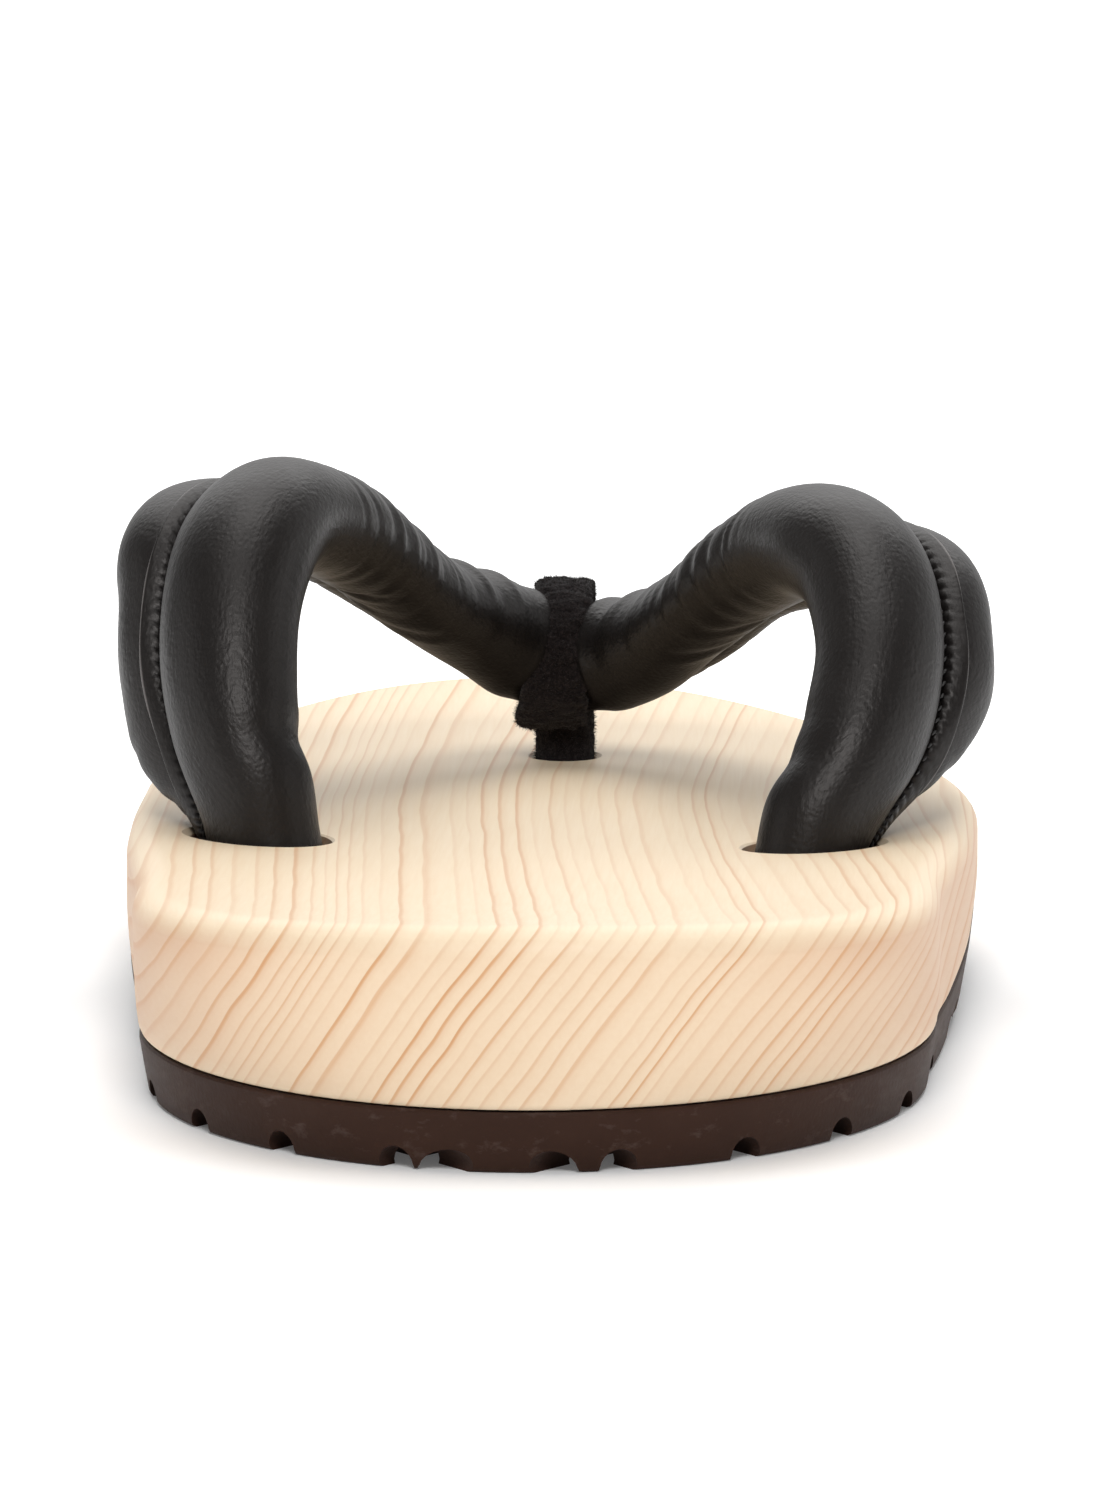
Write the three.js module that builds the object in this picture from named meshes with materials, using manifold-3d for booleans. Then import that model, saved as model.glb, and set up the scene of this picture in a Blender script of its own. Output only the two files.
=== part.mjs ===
// A geta sandal for the right foot: a contoured cypress-wood base on a brown rubber tread, a stuffed
// leather strap of two rolls side by side, and a napped cloth loop that holds the strap's middle down at
// the front. Millimetres. +Z is up, +Y runs from heel to toe and +X is the outer side of the foot. The
// sandal is drawn with its heel at y = 0 on the line x = 0, and set over the origin at the end.
import * as THREE from "three";
import { mergeVertices } from "three/addons/utils/BufferGeometryUtils.js";
import Module from "manifold-3d";

const wasm = await Module();
wasm.setup();

// ---- driving dimensions ---------------------------------------------------------------------------------
const soleLength = 270;
const heelRun = 70; // length of the heel's rounded end
const gap = 0.3; // between pieces that meet
const edgeRound = 4.2; // radius of the footbed's rim
const treadUndercut = 1.6; // how far the tread leans in from its top edge to the floor

// Half the width of the sole between its rounded ends.
const bodyWidths = [
  { y: 0, half: 53.0 },
  { y: 70, half: 53.8 },
  { y: 92, half: 55.7 },
  { y: 130, half: 59.0 },
  { y: 165, half: 60.0 },
  { y: soleLength, half: 60.0 },
];

const wallHeight = 19; // of the wood's side, up to where the rim's rounding begins
const thinWall = 13.5; // where the side is lower than this, at the arch, its rings draw together

// The heel is rounder at the bottom than at the footbed's rim: the power of its oval at each.
const heelRoundness = { bottom: 2.0, rim: 2.75 };

// The toe's tip lies towards the big toe, and each side has its own sweep up to it.
const toeTip = -8;
const toeSweep = {
  inner: { sign: -1, from: 185, power: 2.0 },
  outer: { sign: 1, from: 160, power: 1.9 },
};

// Heights along the centreline: footbed, the joint between wood and rubber, and the tread's underside.
const sideProfile = [
  { y: 0, footbed: 31.8, joint: 8.2, floor: 0 },
  { y: 45, footbed: 29.6, joint: 8.2, floor: 0 },
  { y: 90, footbed: 27.9, joint: 8.2, floor: 0 },
  { y: 150, footbed: 26.3, joint: 12.2, floor: 4.4 },
  { y: 197, footbed: 25.7, joint: 7.8, floor: 0 },
  { y: 236, footbed: 26.7, joint: 7.8, floor: 0 },
  { y: soleLength, footbed: 29.4, joint: 13.2, floor: 5.8 },
];
const dish = 1.2; // how far the footbed's middle lies below its rim

// Strap holes in the wood: ovals with their half sizes, turned the way the strap enters them.
const rearHoles = [
  { x: -39.6, y: 116.1, halfX: 9.3, halfY: 12.2, turn: 29 },
  { x: 36.5, y: 109.3, halfX: 9.0, halfY: 10.4, turn: -40 },
];
const frontHole = { x: 0, y: 211, halfX: 4.9, halfY: 4.7, turn: 0 };

// Grooves of the tread: two families of half-round channels that cross in diamonds. Each family leans from
// the sole's length and passes the heel's back edge at its own distances from the centreline.
const groove = { radius: 2.4, depth: 3, spacing: 22.4, sides: 8 };
const grooveFamilies = [
  { lean: 34, start: 14.7 },
  { lean: -34, start: 2.6 },
];

// The outer arm of the strap, from its middle under the front loop to its hole. The main roll's centre is
// out from the centreline, along the sole and up. The second roll's centre lies apart from it, turned from
// straight out towards the toe and dropping. Roll and second are radii across the strap, and tall is the
// share of them that its thickness has.
const outerArm = [
  { out: 0, y: 206.8, up: 40.0, roll: 6.9, second: 5.5, apart: 8.4, turn: 90, drop: 0, tall: 1.2 },
  { out: 6, y: 204.2, up: 40.3, roll: 7.2, second: 5.6, apart: 9.4, turn: 70, drop: 0, tall: 1.14 },
  { out: 12.4, y: 196.6, up: 43.0, roll: 7.7, second: 5.6, apart: 10.8, turn: 50, drop: -5, tall: 0.98 },
  { out: 20, y: 184, up: 49.8, roll: 8.5, second: 5.6, apart: 12.2, turn: 38, drop: -8, tall: 0.76 },
  { out: 28, y: 168, up: 57.7, roll: 9.0, second: 6.3, apart: 13.8, turn: 34, drop: 9, tall: 0.76 },
  { out: 34.5, y: 154, up: 62.9, roll: 9.4, second: 7.0, apart: 14.8, turn: 41, drop: 16, tall: 0.82 },
  { out: 40, y: 142, up: 63.6, roll: 9.7, second: 7.5, apart: 15.3, turn: 49, drop: 17, tall: 0.88 },
  { out: 44.2, y: 132.5, up: 60.0, roll: 9.7, second: 7.6, apart: 15.0, turn: 57, drop: 13, tall: 0.9 },
  { out: 45.8, y: 123.5, up: 51.2, roll: 9.6, second: 7.6, apart: 14.6, turn: 62, drop: 0, tall: 0.9 },
  { out: 43.4, y: 116, up: 40.6, roll: 9.2, second: 6.2, apart: 10.4, turn: 62, drop: -24, tall: 0.9 },
  { out: 37.8, y: 110.0, up: 31, roll: 8.1, second: 5.8, apart: 3.5, turn: 60, drop: 0, tall: 0.9 },
  { out: 35.1, y: 108.2, up: 22, roll: 7.8, second: 5.6, apart: 2.9, turn: 60, drop: 0, tall: 0.9 },
];

// What the inner arm adds to each row: it stands higher, its second roll reaches further down, and it
// enters the wood further out and further forward.
const innerArmAdds = [
  { out: 0, y: 0, up: 0, roll: 0, second: 0, apart: 0, drop: 0 },
  { out: 0, y: 0, up: 1.4, roll: 0, second: 0, apart: 0, drop: -1 },
  { out: 0, y: 0, up: 3.2, roll: 0, second: 0, apart: 0, drop: -1 },
  { out: 0, y: 0, up: 2.0, roll: 0, second: 0, apart: 0, drop: -2 },
  { out: 0, y: 0, up: 3.2, roll: 0, second: 0, apart: 0, drop: -13 },
  { out: 0, y: 0, up: 3.2, roll: 0, second: 0, apart: 0.2, drop: -10 },
  { out: -0.5, y: 0, up: 3.8, roll: 0.2, second: 0.1, apart: 0.4, drop: -6 },
  { out: -1.6, y: 0, up: 3.2, roll: 0.7, second: 0.2, apart: 0.8, drop: -6 },
  { out: -1.4, y: 0.8, up: 1.6, roll: 0.8, second: 0.3, apart: 1.4, drop: 2 },
  { out: -0.2, y: 2, up: 0.8, roll: 0.5, second: 1.0, apart: 4.8, drop: 12 },
  { out: 2.0, y: 4.4, up: 0, roll: 0.4, second: -0.6, apart: 5.6, drop: 0 },
  { out: 3.0, y: 5.4, up: 0, roll: 0.6, second: -0.4, apart: 2.2, drop: 0 },
];
const stationSteps = 3; // sections between two rows of the table
const rollSides = { main: 14, second: 12 };

// The front loop wraps the strap's middle, and its post goes down into the front hole.
const loop = { width: 7.8, thickness: 2.9, postHalfX: 4.4, postHalfY: 4.2 };

// ---- helpers --------------------------------------------------------------------------------------------
const lerp = THREE.MathUtils.lerp;
const radians = THREE.MathUtils.degToRad;

// The value of one column of a table at y, on a smooth curve that never overshoots its rows.
function along(table, column, y) {
  const last = table.length - 2;
  let i = 0;
  while (i < last && y > table[i + 1].y) i++;
  const rise = (k) => (table[k + 1][column] - table[k][column]) / (table[k + 1].y - table[k].y);
  const slope = (k) => {
    if (k === 0 || k === last + 1) return rise(Math.min(k, last));
    const [before, after] = [rise(k - 1), rise(k)];
    return before * after <= 0 ? 0 : (2 * before * after) / (before + after);
  };
  const span = table[i + 1].y - table[i].y;
  const t = THREE.MathUtils.clamp((y - table[i].y) / span, 0, 1);
  const [t2, t3] = [t * t, t * t * t];
  return (
    (2 * t3 - 3 * t2 + 1) * table[i][column] +
    (t3 - 2 * t2 + t) * span * slope(i) +
    (3 * t2 - 2 * t3) * table[i + 1][column] +
    (t3 - t2) * span * slope(i + 1)
  );
}

// A closed triangle mesh as a solid.
function solidOf(geometry) {
  geometry.deleteAttribute("normal");
  geometry.deleteAttribute("uv");
  const merged = mergeVertices(geometry, 1e-4);
  return new wasm.Manifold(
    new wasm.Mesh({
      numProp: 3,
      vertProperties: merged.attributes.position.array,
      triVerts: new Uint32Array(merged.index.array),
    }),
  );
}

// A solid as a geometry again.
function geometryOf(solid) {
  const { vertProperties, triVerts } = solid.getMesh();
  return new THREE.BufferGeometry()
    .setAttribute("position", new THREE.BufferAttribute(new Float32Array(vertProperties), 3))
    .setIndex(new THREE.BufferAttribute(new Uint32Array(triVerts), 1));
}

// A solid skinned over a stack of closed rings, each an array of points in the same order, with a cap on
// each end ring given as a list of index triples. Rings run anticlockwise seen from the end of the stack.
function skin(rings, firstCap, lastCap) {
  const count = rings[0].length;
  const faces = [];
  for (let r = 0; r < rings.length - 1; r++) {
    for (let k = 0; k < count; k++) {
      const [a, b] = [r * count + k, r * count + ((k + 1) % count)];
      faces.push(a, b, b + count, a, b + count, a + count);
    }
  }
  const offset = (rings.length - 1) * count;
  for (const [a, b, c] of firstCap) faces.push(a, c, b);
  for (const [a, b, c] of lastCap) faces.push(offset + a, offset + b, offset + c);
  const points = new THREE.BufferGeometry().setFromPoints(rings.flat());
  return solidOf(points.setIndex(faces));
}

// ---- outline of the sole --------------------------------------------------------------------------------
const sideSteps = 34;

// Where one side of the sole is at y: an oval round the heel, the body's width, and a sweep to the toe's
// tip.
function sideX(y, { sign, from, power }, heelPower) {
  const half = along(bodyWidths, "half", y);
  const heelShare = 1 - Math.min(1, y / heelRun);
  const atHeel = sign * half * Math.pow(1 - Math.pow(heelShare, heelPower), 1 / heelPower);
  if (y <= from) return atHeel;
  const toeShare = Math.min(1, (y - from) / (soleLength - from));
  return toeTip + (sign * half - toeTip) * Math.pow(1 - Math.pow(toeShare, power), 1 / power);
}

// The outline at one inset: up the outer side from heel to toe and back down the inner side.
function outline(inset, heelPower = heelRoundness.bottom) {
  const points = [];
  const stationY = (j) => (soleLength * (1 - Math.cos((Math.PI * j) / sideSteps))) / 2;
  const add = (j, sweep) => points.push([sideX(stationY(j), sweep, heelPower), stationY(j)]);
  for (let j = 0; j < sideSteps; j++) add(j, toeSweep.outer);
  for (let j = sideSteps; j > 0; j--) add(j, toeSweep.inner);
  return points.map(([x, y], i) => {
    const [before, after] = [points.at(i - 1), points[(i + 1) % points.length]];
    const along2 = new THREE.Vector2(after[0] - before[0], after[1] - before[1]).normalize();
    return new THREE.Vector3(x - along2.y * inset, y + along2.x * inset, 0);
  });
}

// A strip of triangles across a ring, between its outer and its inner side.
function strip() {
  const total = 2 * sideSteps;
  const faces = [[0, 1, total - 1]];
  for (let j = 1; j < sideSteps - 1; j++) {
    faces.push([j, j + 1, total - j], [j + 1, total - j - 1, total - j]);
  }
  faces.push([sideSteps - 1, sideSteps, sideSteps + 1]);
  return faces;
}

// Height of the footbed at y, at a share of the way from its spine to its rim: the side profile, a little
// dished.
function footbedHeight(y, share) {
  return along(sideProfile, "footbed", y) - dish * (1 - share * share);
}

// ---- wooden base ----------------------------------------------------------------------------------------
function woodenBase() {
  const rings = [];
  const { bottom, rim } = heelRoundness;
  const wall = [
    { inset: 0.9, height: 0 },
    { inset: 0.35, height: 0.9 },
    { inset: 0, height: 6 },
    { inset: 0, height: 12 },
  ];
  for (const { inset, height } of wall) {
    const points = outline(inset, lerp(bottom, rim, height / wallHeight));
    for (const p of points) {
      const foot = along(sideProfile, "joint", p.y) + gap / 2;
      const room = footbedHeight(p.y, 1) - edgeRound - foot;
      p.setZ(foot + height * Math.min(1, room / thinWall));
    }
    rings.push(points);
  }
  const roundSteps = 4;
  for (let k = 0; k <= roundSteps; k++) {
    const angle = (Math.PI / 2) * (k / roundSteps);
    const inset = edgeRound * (1 - Math.cos(angle));
    const below = edgeRound * (1 - Math.sin(angle));
    rings.push(outline(inset, rim).map((p) => p.setZ(footbedHeight(p.y, 1) - below)));
  }
  // The footbed closes in towards a spine along the middle of the sole.
  const footbedRim = outline(edgeRound, rim);
  for (const share of [0.84, 0.64, 0.42, 0.2]) {
    rings.push(
      footbedRim.map((p) => {
        const spineY = THREE.MathUtils.clamp(p.y, heelRun, toeSweep.outer.from + heelRun / 2);
        const [x, y] = [p.x * share, lerp(spineY, p.y, share)];
        return new THREE.Vector3(x, y, footbedHeight(y, share));
      }),
    );
  }
  let base = skin(rings, strip(), strip());
  for (const hole of [...rearHoles, frontHole]) base = base.subtract(holeCutter(hole));
  return base;
}

// An upright oval cylinder that cuts a strap hole through the wood.
function holeCutter({ x, y, halfX, halfY, turn }) {
  const cutter = new THREE.CylinderGeometry(1, 1, 80, 32);
  cutter.rotateX(Math.PI / 2).scale(halfX, halfY, 1).rotateZ(radians(turn)).translate(x, y, 20);
  return solidOf(cutter);
}

// ---- rubber outsole -------------------------------------------------------------------------------------
// The tread is drawn lying flat, cut by its grooves, and then raised to the underside's profile.
function rubberOutsole() {
  const wall = [
    { inset: treadUndercut + 0.5, share: 0, up: 0 },
    { inset: treadUndercut, share: 0, up: 0.6 },
    { inset: 0.5, share: 1, up: -0.9 },
    { inset: 0.7, share: 1, up: 0 },
  ];
  const thickness = (y) => along(sideProfile, "joint", y) - gap / 2 - along(sideProfile, "floor", y);
  const rings = wall.map(({ inset, share, up }) =>
    outline(inset).map((p) => p.setZ(share * thickness(p.y) + up)),
  );
  let rubber = skin(rings, strip(), strip());
  for (const { lean, start } of grooveFamilies) {
    const reach = Math.ceil((0.5 * soleLength + bodyWidths.at(-1).half) / groove.spacing);
    for (let k = -reach; k <= reach; k++) {
      rubber = rubber.subtract(grooveCutter(lean, start + k * groove.spacing));
    }
  }
  const raised = geometryOf(rubber);
  const at = raised.attributes.position;
  for (let i = 0; i < at.count; i++) at.setZ(i, at.getZ(i) + along(sideProfile, "floor", at.getY(i)));
  return solidOf(raised);
}

// One channel of the tread: a round bar under the sole, leaning from the sole's length, that passes the
// heel's back edge at start.
function grooveCutter(lean, start) {
  const bar = new THREE.CylinderGeometry(groove.radius, groove.radius, 3 * soleLength, groove.sides);
  bar.rotateY(Math.PI / groove.sides).translate(0, 0, groove.depth - groove.radius);
  bar.rotateZ(radians(lean)).translate(start, 0, 0);
  return solidOf(bar);
}

// ---- padded strap ---------------------------------------------------------------------------------------
// One arm's rows, with its own side of the sandal as the sign of out.
function armRows(side) {
  return outerArm.map((row, k) => {
    const made = { ...row };
    if (side < 0) for (const [column, added] of Object.entries(innerArmAdds[k])) made[column] += added;
    return { ...made, out: side * made.out, turn: side < 0 ? 180 - made.turn : made.turn };
  });
}

// A smooth curve through four numbers, from the second to the third.
function catmull(a, b, c, d, t) {
  const [v0, v1] = [(c - a) / 2, (d - b) / 2];
  return (2 * b - 2 * c + v0 + v1) * t ** 3 + (3 * c - 3 * b - 2 * v0 - v1) * t ** 2 + v0 * t + b;
}

// Every section of the strap from the inner hole round to the outer hole: the main roll's centre, the
// direction in which the second roll lies, and the sizes.
function strapSections() {
  const rows = [...armRows(-1).reverse(), ...armRows(1).slice(1)];
  const sections = [];
  const total = (rows.length - 1) * stationSteps;
  for (let s = 0; s <= total; s++) {
    const i = Math.min(Math.floor(s / stationSteps), rows.length - 2);
    const four = [i - 1, i, i + 1, i + 2].map((k) => rows[THREE.MathUtils.clamp(k, 0, rows.length - 1)]);
    const row = {};
    for (const column of Object.keys(rows[0])) {
      row[column] = catmull(...four.map((r) => r[column]), s / stationSteps - i);
    }
    const [turn, drop] = [radians(row.turn), radians(row.drop)];
    sections.push({
      ...row,
      centre: new THREE.Vector3(row.out, row.y, row.up),
      across: new THREE.Vector3(
        Math.cos(turn) * Math.cos(drop),
        Math.sin(turn) * Math.cos(drop),
        -Math.sin(drop),
      ),
    });
  }
  return sections;
}

// The outline of one section: two circles that cross, stretched along the strap's thickness.
function sectionRing(section, before, after, grow) {
  const ahead = after.centre.clone().sub(before.centre).normalize();
  const across = section.across.clone();
  across.addScaledVector(ahead, -across.dot(ahead)).normalize();
  const outward = ahead.clone().cross(across).normalize();
  const [r1, r2, apart] = [section.roll + grow, section.second + grow, section.apart];
  const meet1 = Math.acos((apart * apart + r1 * r1 - r2 * r2) / (2 * apart * r1));
  const meet2 = Math.acos((apart * apart + r2 * r2 - r1 * r1) / (2 * apart * r2));
  const ring = [];
  const arc = (centre, radius, from, to, sides) => {
    for (let k = 0; k < sides; k++) {
      const angle = lerp(from, to, k / sides);
      const along1 = centre + radius * Math.cos(angle);
      const along2 = radius * Math.sin(angle) * section.tall;
      ring.push(section.centre.clone().addScaledVector(across, along1).addScaledVector(outward, along2));
    }
  };
  arc(0, r1, meet1, 2 * Math.PI - meet1, rollSides.main);
  arc(apart, r2, -Math.PI + meet2, Math.PI - meet2, rollSides.second);
  return ring;
}

// The strap between two of its sections, made thicker by grow all round.
function strapSolid(sections, grow) {
  const rings = sections.map((section, i) =>
    sectionRing(section, sections[Math.max(0, i - 1)], sections[Math.min(sections.length - 1, i + 1)], grow),
  );
  return skin(rings, fan(rings[0]), fan(rings.at(-1)));
}

function fan(ring) {
  return ring.slice(2).map((_, k) => [0, k + 1, k + 2]);
}

// ---- front loop -----------------------------------------------------------------------------------------
function frontLoop(sections) {
  const middle = (sections.length - 1) / 2;
  const reach = 2 * stationSteps;
  const near = sections.slice(middle - reach, middle + reach + 1);
  const width = new THREE.BoxGeometry(loop.width, 60, 60);
  width.translate(frontHole.x, frontHole.y, 45);
  const band = strapSolid(near, loop.thickness).intersect(solidOf(width));
  const foot = along(sideProfile, "joint", frontHole.y) + 1;
  const postTop = outerArm[0].up;
  const post = new THREE.CylinderGeometry(1, 1, postTop - foot, 20);
  post.rotateX(Math.PI / 2).scale(loop.postHalfX, loop.postHalfY, 1);
  post.translate(frontHole.x, frontHole.y, (postTop + foot) / 2);
  return band.add(solidOf(post)).subtract(strapSolid(near, gap));
}

// ---- assembly -------------------------------------------------------------------------------------------
const finishes = {
  wood: new THREE.MeshStandardMaterial({ color: 0xe9cfa8, roughness: 0.55, metalness: 0 }),
  rubber: new THREE.MeshStandardMaterial({ color: 0x3a2723, roughness: 0.7, metalness: 0 }),
  leather: new THREE.MeshStandardMaterial({ color: 0x1d1b1a, roughness: 0.5, metalness: 0 }),
  nap: new THREE.MeshStandardMaterial({ color: 0x0f0c0b, roughness: 0.95, metalness: 0 }),
};

const shoe = new THREE.Group();
function addPiece(name, solid, material) {
  const piece = new THREE.Mesh(geometryOf(solid), material);
  piece.name = name;
  shoe.add(piece);
}

const sections = strapSections();
addPiece("wooden_base", woodenBase(), finishes.wood);
addPiece("rubber_outsole", rubberOutsole(), finishes.rubber);
addPiece("padded_strap", strapSolid(sections, 0), finishes.leather);
addPiece("front_loop", frontLoop(sections), finishes.nap);

// The origin is on the floor under the middle of the sandal.
const extent = new THREE.Box3().setFromObject(shoe);
const middle = extent.getCenter(new THREE.Vector3());
shoe.position.set(-middle.x, -middle.y, -extent.min.z);

const geta = new THREE.Group();
geta.add(shoe);
export default geta;
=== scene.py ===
# A geta sandal for the right foot: a contoured cypress base on a brown rubber tread, a stuffed black
# leather strap of two rolls side by side with a stitched flange between them, and a napped cloth loop that
# holds its middle down. Sizes are millimetres in the sandal's own lines: the heel's back edge is y = 0, the
# sole's centreline is x = 0, +Y runs to the toe, +X is the outer side of the foot and the floor is z = 0.
# placed() puts them into the frame.
import math

import bpy
import numpy as np
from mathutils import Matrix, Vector, noise


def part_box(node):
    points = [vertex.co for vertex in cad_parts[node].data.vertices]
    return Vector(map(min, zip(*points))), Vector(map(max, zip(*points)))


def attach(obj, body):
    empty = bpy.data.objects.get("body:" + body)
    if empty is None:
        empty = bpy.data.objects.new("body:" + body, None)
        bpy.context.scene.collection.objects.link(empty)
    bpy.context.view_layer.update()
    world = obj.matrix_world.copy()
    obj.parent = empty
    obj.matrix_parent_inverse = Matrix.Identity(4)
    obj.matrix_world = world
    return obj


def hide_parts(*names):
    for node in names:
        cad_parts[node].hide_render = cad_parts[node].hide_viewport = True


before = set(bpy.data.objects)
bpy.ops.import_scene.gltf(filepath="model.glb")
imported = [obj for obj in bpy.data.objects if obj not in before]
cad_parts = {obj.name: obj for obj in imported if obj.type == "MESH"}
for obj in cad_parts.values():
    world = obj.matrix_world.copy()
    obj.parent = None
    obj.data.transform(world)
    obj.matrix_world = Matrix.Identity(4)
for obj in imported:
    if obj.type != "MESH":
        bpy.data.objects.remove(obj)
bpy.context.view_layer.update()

MM = 0.001
WELD = 0.005 * MM  # corners closer than this become one
FINE_WELD = 0.002 * MM
base_low, base_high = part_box("wooden_base")
HEEL = np.array([(base_low.x + base_high.x) / 2, base_low.y, 0.0])


# ---- sizes -----------------------------------------------------------------------------------------------
def table(names, *rows):
    """Rows of numbers as one array for each named column."""
    return dict(zip(names.split(), np.array(rows, float).T))


SOLE_LENGTH = 270
HEEL_RUN = 70  # length of the heel's rounded end
GAP = 0.3  # between pieces that meet
EDGE_ROUND = 4.2  # radius of the footbed's rim
WALL_HEIGHT = 19  # of the wood's side, up to where the rim's rounding begins
THIN_WALL = 13.5  # where the side is lower than this, at the arch and the toe, its rings draw together
DISH = 1.2  # how far the footbed's middle lies below its rim
TREAD_UNDERCUT = 1.6  # how far the tread leans in from its top edge to the floor
TOE_TIP = -8  # the toe's tip lies towards the big toe
TOE_SWEEPS = {1: (160, 1.9), -1: (185, 2.0)}  # for each side, where its sweep to the toe begins and a power
HEEL_ROUND_BOTTOM, HEEL_ROUND_RIM = 2.0, 2.75  # powers of the heel's oval

# Half the width of the sole between its rounded ends.
HALF_WIDTH = 60  # at its widest
BODY_WIDTHS = table(
    "y half",
    (0, 53.0),
    (70, 53.8),
    (92, 55.7),
    (130, 59.0),
    (165, HALF_WIDTH),
    (SOLE_LENGTH, HALF_WIDTH),
)

# Heights along the centreline: footbed, the joint between wood and rubber, and the tread's underside.
SIDE_PROFILE = table(
    "y footbed joint floor",
    (0, 31.8, 8.2, 0),
    (45, 29.6, 8.2, 0),
    (90, 27.9, 8.2, 0),
    (150, 26.3, 12.2, 4.4),
    (197, 25.7, 7.8, 0),
    (236, 26.7, 7.8, 0),
    (SOLE_LENGTH, 29.4, 13.2, 5.8),
)

# Strap holes in the wood: ovals with their centre, half sizes and the way they are turned.
FRONT_HOLE_Y = 211
STRAP_HOLES = [
    (-39.6, 116.1, 9.3, 12.2, 29),
    (36.5, 109.3, 9.0, 10.4, -40),
    (0, FRONT_HOLE_Y, 4.9, 4.7, 0),
]
HOLE_BEVEL = 0.5

# The tread's grooves: two families of half-round channels, each leaning from the sole's length and passing
# the heel's back edge at its own distances from the centreline.
GROOVE_RADIUS, GROOVE_DEPTH, GROOVE_SPACING = 2.4, 3, 22.4
GROOVE_FAMILIES = [(34, 14.7), (-34, 2.6)]

# The outer arm of the strap, from its middle under the front loop to its hole: the main roll's centre, the
# two rolls' radii, how far apart they lie, the turn and drop of the line between them, and how tall they
# stand.
OUTER_ARM = table(
    "out y up roll second apart turn drop tall",
    (0, 206.8, 40.0, 6.9, 5.5, 8.4, 90, 0, 1.2),
    (6, 204.2, 40.3, 7.2, 5.6, 9.4, 70, 0, 1.14),
    (12.4, 196.6, 43.0, 7.7, 5.6, 10.8, 50, -5, 0.98),
    (20, 184, 49.8, 8.5, 5.6, 12.2, 38, -8, 0.76),
    (28, 168, 57.7, 9.0, 6.3, 13.8, 34, 9, 0.76),
    (34.5, 154, 62.9, 9.4, 7.0, 14.8, 41, 16, 0.82),
    (40, 142, 63.6, 9.7, 7.5, 15.3, 49, 17, 0.88),
    (44.2, 132.5, 60.0, 9.7, 7.6, 15.0, 57, 13, 0.9),
    (45.8, 123.5, 51.2, 9.6, 7.6, 14.6, 62, 0, 0.9),
    (43.4, 116, 40.6, 9.2, 6.2, 10.4, 62, -24, 0.9),
    (37.8, 110.0, 31, 8.1, 5.8, 3.5, 60, 0, 0.9),
    (35.1, 108.2, 22, 7.8, 5.6, 2.9, 60, 0, 0.9),
)

# What the inner arm adds to each row.
INNER_ARM_ADDS = table(
    "out y up roll second apart drop",
    (0, 0, 0, 0, 0, 0, 0),
    (0, 0, 1.4, 0, 0, 0, -1),
    (0, 0, 3.2, 0, 0, 0, -1),
    (0, 0, 2.0, 0, 0, 0, -2),
    (0, 0, 3.2, 0, 0, 0, -13),
    (0, 0, 3.2, 0, 0, 0.2, -10),
    (-0.5, 0, 3.8, 0.2, 0.1, 0.4, -6),
    (-1.6, 0, 3.2, 0.7, 0.2, 0.8, -6),
    (-1.4, 0.8, 1.6, 0.8, 0.3, 1.4, 2),
    (-0.2, 2, 0.8, 0.5, 1.0, 4.8, 12),
    (2.0, 4.4, 0, 0.4, -0.6, 5.6, 0),
    (3.0, 5.4, 0, 0.6, -0.4, 2.2, 0),
)

# Creases and folds of the strap's leather. Each lies at a distance along the strap from the front loop,
# negative on the inner arm, and at a turn round it: 0 is the stitched valley, 1 the fold underneath and 0.5
# the main roll's side between them. It fades over its reach round the strap and leans along it, and a
# negative depth is a bulge.
CREASES = table(
    "at turn reach lean width depth",
    (-6.2, 0.25, 0.50, 0, 1.6, 0.55),
    (-22.8, 0.16, 0.30, 3, 2.4, 0.65),
    (-31.0, 0.22, 0.26, 5, 2.2, 0.36),
    (-43.0, 0.30, 0.24, 7, 2.0, 0.32),
    (-49.5, 0.42, 0.24, 9, 1.5, 0.22),
    (-55.5, 0.45, 0.28, 14, 1.4, 0.27),
    (-61.0, 0.47, 0.24, 9, 1.3, 0.20),
    (-66.5, 0.50, 0.26, 15, 1.3, 0.19),
    (-52.0, 0.80, 0.12, -22, 1.2, 0.36),
    (-46.0, 0.86, 0.10, -26, 1.2, 0.32),
    (-36.0, 0.74, 0.12, -24, 1.6, 0.28),
    (-125.0, 0.70, 0.24, -5, 2.2, 0.28),
    (-131.0, 0.62, 0.30, -4, 3.0, -0.25),
    (-127.0, 1.55, 0.20, 8, 1.3, 0.42),
    (-119.0, 1.50, 0.20, 8, 1.2, 0.36),
    (-112.0, 1.42, 0.16, 8, 1.1, 0.26),
    (6.2, 0.25, 0.50, 0, 1.6, 0.55),
    (14.5, 0.20, 0.30, -3, 2.2, 0.45),
    (24.0, 0.24, 0.26, -4, 2.4, 0.35),
    (37.0, 0.30, 0.24, -6, 1.8, 0.28),
    (44.0, 0.38, 0.24, -9, 1.6, 0.36),
    (50.5, 0.42, 0.26, -11, 1.4, 0.32),
    (56.0, 0.46, 0.22, -12, 1.3, 0.36),
    (61.5, 0.50, 0.20, -12, 1.2, 0.30),
    (45.0, 0.82, 0.12, 22, 1.4, 0.32),
    (34.0, 0.76, 0.12, 24, 1.6, 0.28),
    (129.0, 0.76, 0.26, 4, 2.2, 0.30),
    (134.5, 0.74, 0.26, 3, 3.6, -0.30),
    (117.0, 1.50, 0.20, -8, 1.3, 0.34),
    (125.0, 1.55, 0.22, -8, 1.4, 0.42),
)

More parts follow.
